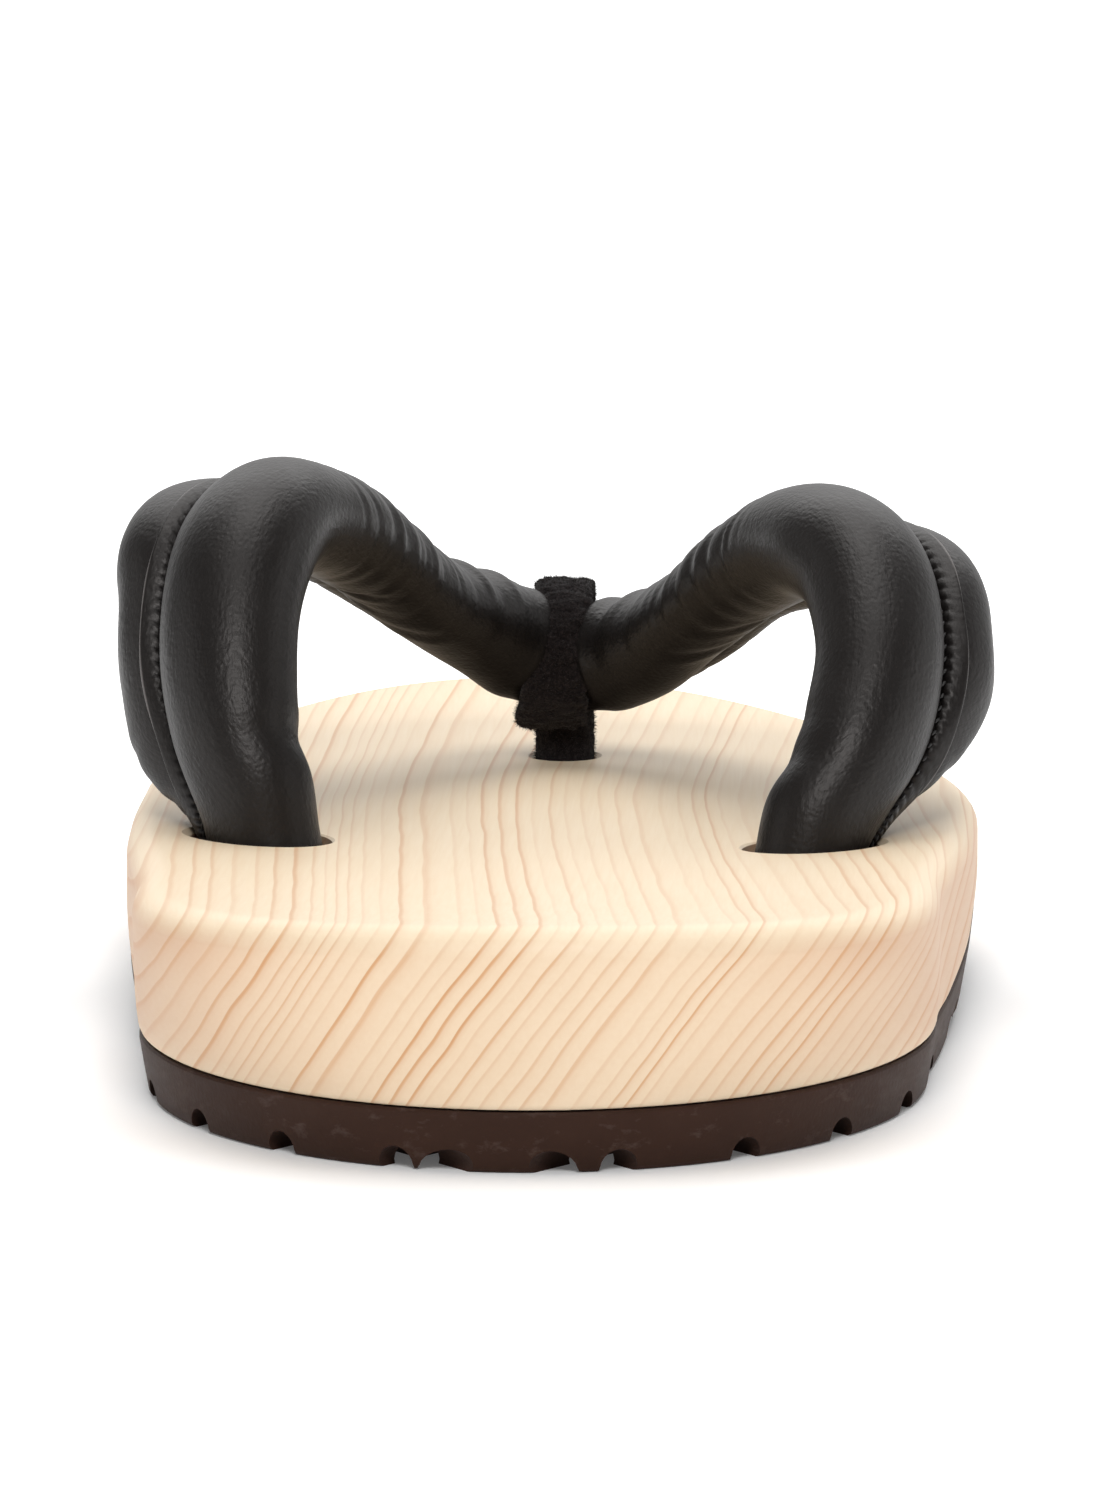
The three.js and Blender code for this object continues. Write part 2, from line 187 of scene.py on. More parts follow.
# Runs of fine wrinkles across the strap, where it bends: from where to where, how many, and the rest as for
# the creases.
WRINKLES = table(
    "first last count turn reach lean width depth",
    (-72, -36, 34, 0.40, 0.15, 11, 0.75, 0.10),
    (-34, -10, 22, 0.28, 0.13, 7, 0.80, 0.09),
    (12, 34, 18, 0.30, 0.13, -7, 0.80, 0.08),
    (36, 70, 30, 0.40, 0.15, -11, 0.75, 0.10),
    (-60, 60, 40, 1.45, 0.22, 5, 0.90, 0.12),
)

STITCH_PITCH = 1.65
FLANGE_WIDTH = 3.3

# The front loop: a band round the strap's middle, narrower at the top and leaning inwards below, with a
# post under it.
LOOP_WIDTH_TOP, LOOP_WIDTH_BOTTOM = 8.4, 10.2
LOOP_THICKNESS = 2.9
LOOP_PINCH = 0.9  # how far it presses the strap in
LOOP_LEAN = -1.9
POST_HALF_X, POST_HALF_Y = 4.4, 4.2


# ---- working by hand: small helpers for the operators ----------------------------------------------------
def placed(points):
    """Points in the sandal's own millimetres as metres in the frame."""
    return np.asarray(points, float) * MM + HEEL


def deselect():
    if bpy.context.mode != "OBJECT":
        bpy.ops.object.mode_set(mode="OBJECT")
    bpy.ops.object.select_all(action="DESELECT")


def named(name):
    """The primitive just added, under its own name and with its place moved into its mesh."""
    piece = bpy.context.object
    piece.name = piece.data.name = name
    bpy.ops.object.transform_apply(location=True, rotation=True, scale=True)
    return piece


def corners(piece):
    """Where a piece's corners are, in the sandal's own millimetres."""
    flat = np.empty(3 * len(piece.data.vertices), np.float32)
    piece.data.vertices.foreach_get("co", flat)
    return (flat.reshape(-1, 3) - HEEL) / MM


def set_corners(piece, points):
    piece.data.vertices.foreach_set("co", placed(points).astype(np.float32).ravel())
    piece.data.update()


def only(piece):
    """Makes a piece the one that the next operators act on."""
    deselect()
    piece.select_set(True)
    bpy.context.view_layer.objects.active = piece


def editing(piece, *steps):
    """Runs edit-mode operators on the whole of a piece, each given with its settings."""
    only(piece)
    bpy.ops.object.mode_set(mode="EDIT")
    for operator, settings in steps:
        bpy.ops.mesh.select_all(action="SELECT")
        operator(**settings)
    bpy.ops.object.mode_set(mode="OBJECT")


def lofted(name, rings, closed_in):
    """A body drawn from a filled circle: its face is extruded once for each further ring, and its corners
    are put on that ring. With closed_in, the first and last rings lie folded on a spine, and are welded."""
    deselect()
    bpy.ops.mesh.primitive_circle_add(vertices=len(rings[0]), fill_type="NGON")
    piece = named(name)
    set_corners(piece, rings[0])
    bpy.ops.object.mode_set(mode="EDIT")
    bpy.ops.mesh.select_mode(type="FACE")
    bpy.ops.mesh.select_all(action="SELECT")
    for ring in rings[1:]:
        bpy.ops.mesh.extrude_region_move()
        bpy.ops.object.mode_set(mode="OBJECT")
        points = corners(piece)
        cap = max(piece.data.polygons, key=lambda face: face.select * len(face.vertices))
        points[list(cap.vertices)] = ring
        set_corners(piece, points)
        bpy.ops.object.mode_set(mode="EDIT")
    bpy.ops.object.mode_set(mode="OBJECT")
    if closed_in:
        for face in piece.data.polygons:
            face.select = len(face.vertices) > 4
        bpy.ops.object.mode_set(mode="EDIT")
        bpy.ops.mesh.delete(type="ONLY_FACE")
        bpy.ops.object.mode_set(mode="OBJECT")
        editing(piece, (bpy.ops.mesh.remove_doubles, {"threshold": WELD}))
    return piece


def cut_by(piece, cutter):
    """Cuts a piece by another one, which is then thrown away."""
    only(piece)
    cut = piece.modifiers.new("cut", "BOOLEAN")
    cut.object = cutter
    cut.operation = "DIFFERENCE"
    cut.solver = "MANIFOLD"
    bpy.ops.object.modifier_apply(modifier=cut.name)
    bpy.data.objects.remove(cutter, do_unlink=True)


def smooth(piece, degrees):
    only(piece)
    bpy.ops.object.shade_smooth_by_angle(angle=math.radians(degrees))


# ---- outline of the sole ---------------------------------------------------------------------------------
SIDE_STEPS = 90
STATIONS = SOLE_LENGTH * (1 - np.cos(math.pi * np.arange(SIDE_STEPS + 1) / SIDE_STEPS)) / 2
ROUND_TRIP = np.r_[STATIONS[:-1], STATIONS[:0:-1]]  # up the outer side and back down the inner side


def along(columns, name, y):
    """One column of a table at every y, on a smooth curve that never overshoots its rows."""
    at, value = columns["y"], columns[name]
    rise = np.diff(value) / np.diff(at)
    before, after = rise[:-1], rise[1:]
    turns = before * after <= 0
    inner = np.where(turns, 0, 2 * before * after / np.where(turns, 1, before + after))
    slope = np.r_[rise[0], inner, rise[-1]]
    y = np.clip(y, at[0], at[-1])
    i = np.clip(np.searchsorted(at, y, side="right") - 1, 0, len(at) - 2)
    span = at[i + 1] - at[i]
    t = (y - at[i]) / span
    return (
        (2 * t**3 - 3 * t**2 + 1) * value[i]
        + (t**3 - 2 * t**2 + t) * span * slope[i]
        + (3 * t**2 - 2 * t**3) * value[i + 1]
        + (t**3 - t**2) * span * slope[i + 1]
    )


def side_x(y, sign, heel_power):
    """Where one side of the sole is at y: an oval heel, the body's width, and a sweep to the toe's tip."""
    half = along(BODY_WIDTHS, "half", y)
    heel_share = 1 - np.minimum(1, y / HEEL_RUN)
    at_heel = sign * half * (1 - heel_share**heel_power) ** (1 / heel_power)
    start, power = TOE_SWEEPS[sign]
    toe_share = np.clip((y - start) / (SOLE_LENGTH - start), 0, 1)
    at_toe = TOE_TIP + (sign * half - TOE_TIP) * (1 - toe_share**power) ** (1 / power)
    return np.where(y <= start, at_heel, at_toe)


def outline(inset, heel_power):
    """The outline at one inset: up the outer side from heel to toe and back down the inner side."""
    outer, inner = (side_x(ROUND_TRIP, sign, heel_power) for sign in (1, -1))
    x = np.where(np.arange(2 * SIDE_STEPS) < SIDE_STEPS, outer, inner)
    points = np.c_[x, ROUND_TRIP]
    run = np.roll(points, -1, axis=0) - np.roll(points, 1, axis=0)
    run /= np.linalg.norm(run, axis=1)[:, None]
    return points + inset * np.c_[-run[:, 1], run[:, 0]]


def footbed_height(y, share):
    """Height of the footbed at y, at a share of the way from its spine to its rim."""
    return along(SIDE_PROFILE, "footbed", y) - DISH * (1 - share * share)


def closing_in(rim, shares, height):
    """Rings between a rim and a spine along the middle of the sole."""
    spine_y = np.clip(ROUND_TRIP, HEEL_RUN, SOLE_LENGTH - HEEL_RUN)
    rings = []
    for share in shares:
        y = spine_y + (rim[:, 1] - spine_y) * share
        rings.append(np.c_[rim[:, 0] * share, y, height(y, share)])
    return rings


# ---- wooden base -----------------------------------------------------------------------------------------
def make_wood_base():
    """The base: its underside, wall, rounded rim and dished footbed, cut by the strap holes."""

    def joint(y, share=1):
        return along(SIDE_PROFILE, "joint", y) + GAP / 2

    wall = [(0.9, 0), (0.6, 0.25), (0.38, 0.8), (0.18, 2.6), (0, 6), (0, 12)]
    rings = closing_in(outline(wall[0][0], HEEL_ROUND_BOTTOM), np.linspace(0, 0.9, 7), joint)
    for inset, height in wall:
        share = height / WALL_HEIGHT
        ring = outline(inset, HEEL_ROUND_BOTTOM + (HEEL_ROUND_RIM - HEEL_ROUND_BOTTOM) * share)
        low = joint(ring[:, 1])
        room = footbed_height(ring[:, 1], 1) - EDGE_ROUND - low
        rings.append(np.c_[ring, low + height * np.minimum(1, room / THIN_WALL)])
    for angle in np.radians(np.linspace(0, 90, 10)):
        ring = outline(EDGE_ROUND * (1 - math.cos(angle)), HEEL_ROUND_RIM)
        rings.append(np.c_[ring, footbed_height(ring[:, 1], 1) - EDGE_ROUND * (1 - math.sin(angle))])
    rim = outline(EDGE_ROUND, HEEL_ROUND_RIM)
    rings += closing_in(rim, np.linspace(0.94, 0, 15), footbed_height)
    base = lofted("wood_base", rings, closed_in=True)
    for hole in STRAP_HOLES:
        cut_by(base, hole_cutter(*hole))
    smooth(base, 38)
    return base


def hole_cutter(x, y, half_x, half_y, turned):
    """An upright oval bar that cuts a strap hole, flaring a little where it comes out of the footbed."""
    top = float(footbed_height(np.array([y]), abs(x) / HALF_WIDTH)[0])
    angle = np.linspace(0, 2 * math.pi, 72, endpoint=False)
    cos, sin = math.cos(math.radians(turned)), math.sin(math.radians(turned))
    flare = 2 * HOLE_BEVEL
    levels = [(-5, 0), (top - HOLE_BEVEL, 0), (top + HOLE_BEVEL, flare), (top + 20, flare)]
    rings = []
    for height, grow in levels:
        a, b = (half_x + grow) * np.cos(angle), (half_y + grow) * np.sin(angle)
        rings.append(np.c_[x + a * cos - b * sin, y + a * sin + b * cos, np.full(len(angle), height)])
    return lofted("hole_cutter", rings, closed_in=False)


# ---- rubber tread ----------------------------------------------------------------------------------------
BISECT_STEP = 5  # along the sole, so that the flat tread can follow the underside's profile


def make_tread():
    """The tread: drawn flat, cut by its grooves, sliced across and raised to the underside's profile."""
    wall = [
        (TREAD_UNDERCUT + 0.9, 0, 0),
        (TREAD_UNDERCUT + 0.35, 0, 0.2),
        (TREAD_UNDERCUT, 0, 0.7),
        (0.5, 1, -0.9),
        (0.55, 1, -0.35),
        (0.8, 1, 0),
    ]

    def thickness(y):
        return along(SIDE_PROFILE, "joint", y) - GAP / 2 - along(SIDE_PROFILE, "floor", y)

    first = outline(wall[0][0], HEEL_ROUND_BOTTOM)
    last = outline(wall[-1][0], HEEL_ROUND_BOTTOM)
    rings = closing_in(first, np.linspace(0, 0.9, 5), lambda y, share: 0 * y)
    for inset, share, up in wall:
        ring = outline(inset, HEEL_ROUND_BOTTOM)
        rings.append(np.c_[ring, share * thickness(ring[:, 1]) + up])
    rings += closing_in(last, np.linspace(0.9, 0, 5), lambda y, share: thickness(y))
    tread = lofted("tread_sole", rings, closed_in=True)
    for lean, start in GROOVE_FAMILIES:
        cut_by(tread, groove_cutter(lean, start))
    for y in np.arange(BISECT_STEP, SOLE_LENGTH, BISECT_STEP):
        plane = {"plane_co": placed([0, y, 0]), "plane_no": (0, 1, 0)}
        editing(tread, (bpy.ops.mesh.bisect, plane))
    points = corners(tread)
    points[:, 2] += along(SIDE_PROFILE, "floor", points[:, 1])
    set_corners(tread, points)
    editing(
        tread,
        (bpy.ops.mesh.remove_doubles, {"threshold": WELD}),
        (bpy.ops.mesh.dissolve_degenerate, {"threshold": WELD}),
    )
    smooth(tread, 30)
    return tread


def groove_cutter(lean, start):
    """One family of the tread's grooves: parallel round bars under the sole, joined."""
    reach = math.ceil((0.5 * SOLE_LENGTH + HALF_WIDTH) / GROOVE_SPACING)
    bars = []
    for k in range(-reach, reach + 1):
        deselect()
        bpy.ops.mesh.primitive_cylinder_add(
            vertices=20,
            radius=GROOVE_RADIUS * MM,
            depth=3 * SOLE_LENGTH * MM,
            location=placed([start + k * GROOVE_SPACING, 0, GROOVE_DEPTH - GROOVE_RADIUS]),
            rotation=(math.pi / 2, 0, math.radians(lean)),
        )
        bars.append(named("groove_bar"))
    only(bars[0])
    for bar in bars:
        bar.select_set(True)
    bpy.ops.object.join()
    return bars[0]


# ---- the strap's path and section ------------------------------------------------------------------------
def both_arms():
    """The rows of both arms in one run, from the inner hole round to the outer hole."""
    inner = {name: column + INNER_ARM_ADDS.get(name, 0) for name, column in OUTER_ARM.items()}
    inner["out"] = -inner["out"]
    inner["turn"] = 180 - inner["turn"]
    return {name: np.r_[inner[name][::-1], column[1:]] for name, column in OUTER_ARM.items()}


STRAP = both_arms()
LAST_ROW = len(STRAP["out"]) - 1


def strap_at(step):
    """Every column of the strap at steps along its rows, on smooth curves through them."""
    step = np.clip(step, 0, LAST_ROW)
    i = np.minimum(step.astype(int), LAST_ROW - 1)
    t = step - i
    made = {}
    for name, column in STRAP.items():
        a, b, c, d = (column[np.clip(i + k, 0, LAST_ROW)] for k in (-1, 0, 1, 2))
        v0, v1 = (c - a) / 2, (d - b) / 2
        made[name] = (2 * b - 2 * c + v0 + v1) * t**3 + (3 * c - 3 * b - 2 * v0 - v1) * t**2 + v0 * t + b
    return made


def strap_centre(step):
    row = strap_at(step)
    return np.c_[row["out"], row["y"], row["up"]]


STRAP_STEPS = np.linspace(0, LAST_ROW, 60 * LAST_ROW + 1)
STRAP_RUN = np.r_[0, np.cumsum(np.linalg.norm(np.diff(strap_centre(STRAP_STEPS), axis=0), axis=1))]
STRAP_RUN -= np.interp(LAST_ROW / 2, STRAP_STEPS, STRAP_RUN)  # so that 0 is under the front loop
STRAP_ENDS = STRAP_RUN[0], STRAP_RUN[-1]
VALLEY_SOFTNESS = 0.9
APEX_RUN = 98  # where each arm turns down at the back
OUTLINE_STEPS = 720  # round each of the strap's outlines


def unit(vectors):
    return vectors / np.linalg.norm(vectors, axis=-1, keepdims=True)


def strap_contours(run):
    """The strap's outline at each distance along it. It starts at the stitched valley, goes over the main
    roll to the fold underneath and comes back over the second roll."""
    step = np.interp(run, STRAP_RUN, STRAP_STEPS)
    row = strap_at(step)
    ahead = unit(strap_centre(step + 1 / 3) - strap_centre(step - 1 / 3))
    turn, drop = np.radians(row["turn"]), np.radians(row["drop"])
    across = np.c_[np.cos(turn) * np.cos(drop), np.sin(turn) * np.cos(drop), -np.sin(drop)]
    across = unit(across - ahead * np.sum(across * ahead, axis=1, keepdims=True))
    roll, second, apart = (row[name][:, None] for name in ("roll", "second", "apart"))
    valley = (apart**2 + roll**2 - second**2) / (2 * apart)
    angle = np.radians(np.linspace(90, 450, OUTLINE_STEPS + 1))[None]

    def reach(offset, radius):
        return -offset * np.cos(angle) + np.sqrt(np.maximum(0, radius**2 - (offset * np.sin(angle)) ** 2))

    main, other = reach(valley, roll), reach(valley - apart, second)
    softness = VALLEY_SOFTNESS * (1 + np.maximum(0, np.sin(angle)))
    reached = (main + other + np.sqrt((main - other) ** 2 + softness**2)) / 2
    a = valley + reached * np.cos(angle)
    b = reached * np.sin(angle) * row["tall"][:, None]
    length = np.hypot(np.diff(a, axis=1), np.diff(b, axis=1))
    around = np.c_[np.zeros(len(run)), np.cumsum(length, axis=1)]
    return {
        "centre": np.c_[row["out"], row["y"], row["up"]],
        "across": across,
        "outward": np.cross(ahead, across),
        "ahead": ahead,
        "a": a,
        "b": b,
        "around": around,
        "fold": around[:, OUTLINE_STEPS // 2],
        "total": around[:, -1],
    }


def on_contours(strap, around):
    """Points on the strap and the directions straight out of it, at distances round each outline."""

    def section(distance):
        distance = np.mod(distance, strap["total"][:, None])
        pairs = zip(distance, strap["around"], strap["a"], strap["b"])
        both = [(np.interp(d, s, a), np.interp(d, s, b)) for d, s, a, b in pairs]
        return np.array(both).transpose(1, 0, 2)

    def in_space(ab):
        return ab[0][..., None] * strap["across"][:, None] + ab[1][..., None] * strap["outward"][:, None]

    tangent = section(around + 0.25) - section(around - 0.25)
    points = strap["centre"][:, None] + in_space(section(around))
    return points, unit(in_space(np.array([tangent[1], -tangent[0]])))


# ---- padded strap ----------------------------------------------------------------------------------------
MAIN_COLUMNS, SECOND_COLUMNS = 66, 46
STRAP_STEP = 0.42


def bunched(count):
    """Shares from 0 to 1 that lie closer together at both ends."""
    share = np.linspace(0, 1, count + 1)
    return share - 0.5 * np.sin(2 * math.pi * share) / (2 * math.pi)


def crease(run, turn, at, centre, reach, lean, width, depth):
    """One soft trough across the strap, with a low ridge on each side of it."""
    away = np.abs(run - at - lean * (turn - centre)) / width
    fade = np.exp(-(((turn - centre) / reach) ** 2))
    return -depth * fade * (np.exp(-(away**2)) - 0.45 * np.exp(-((away - 1.9) ** 2)))


def leather_lift(run, turn, past_fold):
    """How far the leather stands out from the strap's plain form at each place."""
    lift = 0.16 * np.sin(run / 7.9 + 0.7) * np.sin(math.pi * turn + run / 23)
    lift += 0.12 * np.sin(run / 3.7 + 2.1 + 3 * turn) * np.sin(2 * math.pi * turn + run / 17)
    for row in zip(*CREASES.values()):
        lift += crease(run, turn, *row)
    chance = np.random.default_rng(11)
    for first, last, count, centre, reach, lean, width, depth in zip(*WRINKLES.values()):
        for k in range(int(count)):
            at = first + (last - first) * (k + chance.uniform(-0.3, 0.3)) / count
            place = centre + chance.uniform(-0.12, 0.12)
            size = chance.uniform(0.5, 1.3)
            tilt = lean * chance.uniform(0.5, 1.5)
            lift += crease(run, turn, at, place, reach * size, tilt, width, depth * size)
    under_seam = np.exp(-(((past_fold + 0.9) / 0.45) ** 2)) - 0.6 * np.exp(-((past_fold / 0.5) ** 2))
    lift += 0.5 * under_seam
    lift -= LOOP_PINCH * np.exp(-((run / 5.9) ** 4))
    pucker = 0.5 - 0.5 * np.cos(2 * math.pi * run / STITCH_PITCH)
    from_valley = np.minimum(turn, 2 - turn)
    return lift + 0.16 * pucker * np.exp(-((from_valley / 0.035) ** 2))


def make_strap():
    """The stuffed leather cover: a sheet rolled up round the strap's path and welded along its valley."""
    rows = int((STRAP_ENDS[1] - STRAP_ENDS[0]) / STRAP_STEP)
    columns = MAIN_COLUMNS + SECOND_COLUMNS
    deselect()
    bpy.ops.mesh.primitive_grid_add(x_subdivisions=columns, y_subdivisions=rows, size=1)
    cover = named("strap_cover")
    run = np.linspace(*STRAP_ENDS, rows + 1)
    strap = strap_contours(run)
    main = bunched(MAIN_COLUMNS)[None] * strap["fold"][:, None]
    rest = (strap["total"] - strap["fold"])[:, None]
    other = strap["fold"][:, None] + bunched(SECOND_COLUMNS)[None, 1:] * rest
    around = np.c_[main, other]
    turn = np.r_[bunched(MAIN_COLUMNS), 1 + bunched(SECOND_COLUMNS)[1:]][None]
    turn = np.broadcast_to(turn, around.shape)
    points, out = on_contours(strap, around)
    lift = leather_lift(run[:, None], turn, around - strap["fold"][:, None])
    near_end = np.clip((turn - 1.75) / 0.25, 0, 1) ** 2
    lift += (lift[:, :1] - lift[:, -1:]) * near_end  # so that both edges meet
    set_corners(cover, (points + out * lift[..., None]).reshape(-1, 3))
    write_map(cover, around, run)
    close_tube(cover)
    smooth(cover, 60)
    return cover


def write_map(piece, around, run):
    """Lays a piece's own map out in decimetres: round it one way and along it the other."""
    flat = np.c_[np.ravel(around), np.repeat(run, around.shape[1])] / 100
    at = np.empty(len(piece.data.loops), np.int32)
    piece.data.loops.foreach_get("vertex_index", at)
    piece.data.uv_layers[0].data.foreach_set("uv", flat[at].astype(np.float32).ravel())


def close_tube(piece):
    """Welds a rolled-up sheet along its edge and fills its two ends."""
    editing(
        piece,
        (bpy.ops.mesh.remove_doubles, {"threshold": FINE_WELD}),
        (bpy.ops.mesh.fill_holes, {"sides": 0}),
    )


# ---- stitched flange -------------------------------------------------------------------------------------
# Its section: distance from the stitched valley over the second roll, height above it, and how much of the
# stitches' pull reaches that place.
FLANGE_SECTION = table(
    "out up pull",
    (0.10, -0.30, 0.6),
    (0.22, 0.30, 1.0),
    (0.45, 0.70, 1.0),
    (0.80, 0.94, 0.7),
    (1.25, 1.04, 0.35),
    (1.80, 1.06, 0.18),
    (2.35, 1.04, 0.08),
    (2.85, 1.02, 0.03),
    (3.15, 0.99, 0),
    (3.28, 0.88, 0),
    (3.32, 0.58, 0),
    (3.30, 0.12, 0),
    (3.22, -0.35, 0),
    (2.10, -0.40, 0),
    (1.00, -0.45, 0.3),
)
FLANGE_STEP = 0.2


def make_flange():
    """The leather's free edge: a flat strip that lies over the second roll, pulled in at every stitch."""
    ends = STRAP_ENDS[0] + 1, STRAP_ENDS[1] - 1
    rows = int((ends[1] - ends[0]) / FLANGE_STEP)
    columns = len(FLANGE_SECTION["out"])
    deselect()
    bpy.ops.mesh.primitive_grid_add(x_subdivisions=columns, y_subdivisions=rows, size=1)
    flange = named("seam_flange")
    run = np.linspace(*ends, rows + 1)
    strap = strap_contours(run)
    out, up, pull = (np.r_[column, column[0]][None] for column in FLANGE_SECTION.values())
    lie, straight = flange_bed(strap)
    wave = 0.5 + 0.5 * np.cos(2 * math.pi * (run[:, None] - 0.55 * out) / STITCH_PITCH)
    sway = 0.14 * np.sin(run / 6.1 + 0.4) + 0.10 * np.sin(run / 2.3)
    share = out / FLANGE_WIDTH
    stand = 0.9 * np.exp(-(((np.abs(run) - APEX_RUN) / 15) ** 4))[:, None]
    out = out + 0.24 * pull * wave**2 + sway[:, None] * share
    up = up - 0.20 * pull * wave**2 + (0.07 * np.sin(run / 4.3)[:, None] + stand) * share
    tuck = np.exp(-((run / 6.0) ** 4))[:, None] * 0.6
    points, _ = on_contours(strap, -out * lie[:, None])
    points += (up - tuck)[..., None] * straight[:, None]
    set_corners(flange, points.reshape(-1, 3))
    write_map(flange, np.broadcast_to(out, points.shape[:2]), run)
    close_tube(flange)
    editing(flange, (bpy.ops.mesh.normals_make_consistent, {"inside": False}))
    smooth(flange, 50)
    return flange


def flange_bed(strap):
    """How much of the flange's width each outline has room for, and the way straight up from its middle."""
    room = (strap["total"] - strap["fold"]) / 2.2
    lie = np.minimum(1, room / FLANGE_WIDTH)
    _, straight = on_contours(strap, np.full((len(lie), 1), -0.6 * FLANGE_WIDTH) * lie[:, None])
    return lie, straight[:, 0]


# ---- stitches --------------------------------------------------------------------------------------------
THREAD_RADIUS = 0.2
STITCH_LENGTH = 1.25
STITCH_OUT, STITCH_UP = 0.12, 0.55  # its middle, over the main roll from the valley and above it


def make_stitches():
    """The seam's thread: one short stitch, modelled once and repeated along the stitched valley."""
    deselect()
    bpy.ops.mesh.primitive_uv_sphere_add(segments=8, ring_count=6, radius=1)
    stitch = named("seam_stitches")
    one = np.array([tuple(corner.co) for corner in stitch.data.vertices])
    faces = [tuple(face.vertices) for face in stitch.data.polygons]
    half = int(min(-STRAP_ENDS[0], STRAP_ENDS[1]) / STITCH_PITCH) - 2
    run = np.arange(-half, half + 1) * STITCH_PITCH + STITCH_PITCH / 2
    strap = strap_contours(run)
    _, straight = flange_bed(strap)
    centre, _ = on_contours(strap, np.full((len(run), 1), STITCH_OUT))
    centre = centre[:, 0] + STITCH_UP * straight
    side = unit(np.cross(straight, strap["ahead"]))
    forward = unit(strap["ahead"] - 0.5 * side)
    side = unit(np.cross(straight, forward))
    size = np.array([STITCH_LENGTH / 2, THREAD_RADIUS, THREAD_RADIUS])
    made = [
        at + (one * size) @ np.array([ahead, sideways, up])
        for at, ahead, sideways, up in zip(centre, forward, side, straight)
    ]
    mesh = stitch.data
    mesh.clear_geometry()
    repeated = [tuple(i + k * len(one) for i in face) for k in range(len(made)) for face in faces]
    mesh.from_pydata(placed(np.concatenate(made)).tolist(), [], repeated)
    editing(stitch, (bpy.ops.mesh.normals_make_consistent, {"inside": False}))
    smooth(stitch, 80)
    return stitch


# ---- front loop ------------------------------------------------------------------------------------------
BAND_AROUND, BAND_ACROSS = 220, 44
BAND_POWER = 2 / 2.3  # of its rounded oval, as a taut band bridges the dip between the rolls
BAND_TIGHT = {"toe": 1.0, "heel": 0.1, "up": 0.3}  # how far its path closes in on the strap on each side


def band_path():
    """The middle of the band's thickness round the strap, along the sole and up, and the way out of it."""
    strap = strap_contours(np.array([0.0]))
    distance = np.linspace(0, strap["total"][0], BAND_AROUND + 1)[None]
    points, _ = on_contours(strap, distance)
    y, z = points[0, :, 1], points[0, :, 2]
    toe_y, heel_y = y.max() - BAND_TIGHT["toe"], y.min() + BAND_TIGHT["heel"]
    middle_y, middle_z = (toe_y + heel_y) / 2, (z.max() + z.min()) / 2
    half_y, half_z = (toe_y - heel_y) / 2, (z.max() - z.min()) / 2 - BAND_TIGHT["up"]
    angle = np.linspace(0, 2 * math.pi, BAND_AROUND + 1)
    oval_y = np.sign(np.cos(angle)) * np.abs(np.cos(angle)) ** BAND_POWER
    oval_z = np.sign(np.sin(angle)) * np.abs(np.sin(angle)) ** BAND_POWER
    grow = LOOP_THICKNESS / 2
    path = np.c_[middle_y + (half_y + grow) * oval_y, middle_z + (half_z + grow) * oval_z]
    run = np.roll(path[:-1], -1, axis=0) - np.roll(path[:-1], 1, axis=0)
    out = unit(np.c_[run[:, 1], -run[:, 0]])
    return path, np.r_[out, out[:1]]


def rounded_bar(half_width, half_height, count):
    """A closed rounded rectangle as across and up from its centre, going round from one side."""
    angle = np.linspace(0, 2 * math.pi, count + 1)
    across = np.sign(np.cos(angle)) * np.minimum(1, np.abs(np.cos(angle)) * 1.08) ** 0.62
    up = np.sign(np.sin(angle)) * np.minimum(1, np.abs(np.sin(angle)) * 1.08) ** 0.62
    pull = 1 - 0.115 * np.abs(across * up) ** 3
    return across * half_width * pull, up * half_height * pull


def knobs(points, scale, depth, seed):
    """A lumpy height for each point, such as a thick nap has."""
    offset = Vector((seed, 2 * seed, 3 * seed))
    return depth * np.array([noise.noise(Vector(p) / scale + offset) for p in points])


def make_loop():
    """The band round the strap's middle and the post below it, with a lumpy nap."""
    path, out = band_path()
    deselect()
    bpy.ops.mesh.primitive_grid_add(x_subdivisions=BAND_ACROSS, y_subdivisions=BAND_AROUND, size=1)
    band = named("loop_band")
    low, high = path[:, 1].min(), path[:, 1].max()
    down = ((high - path[:, 1]) / (high - low))[:, None]
    width = LOOP_WIDTH_TOP + (LOOP_WIDTH_BOTTOM - LOOP_WIDTH_TOP) * down
    across, up = rounded_bar(0.5, LOOP_THICKNESS / 2, BAND_ACROSS)
    x = LOOP_LEAN * down**1.3 + across[None] * width
    y = path[:, :1] + out[:, :1] * up[None]
    z = path[:, 1:] + out[:, 1:] * up[None]
    points = np.stack([x, y, z], axis=2).reshape(-1, 3)
    sideways = np.broadcast_to(across * 2, x.shape)
    side = np.sign(up)[None]
    normal = np.stack([sideways, out[:, :1] * side, out[:, 1:] * side], axis=2)
    normal[:, -1] = normal[:, 0]  # the section's two ends are one line
    normal = unit(normal.reshape(-1, 3) + 1e-9)
    lump = knobs(points, 1.2, 0.5, 3.0) + knobs(points, 0.5, 0.22, 5.0)
    set_corners(band, points + normal * lump[:, None])
    editing(
        band,
        (bpy.ops.mesh.remove_doubles, {"threshold": FINE_WELD}),
        (bpy.ops.mesh.normals_make_consistent, {"inside": False}),
    )
    post = make_post(low)
    only(band)
    post.select_set(True)
    bpy.ops.object.join()
    smooth(band, 180)
    return band


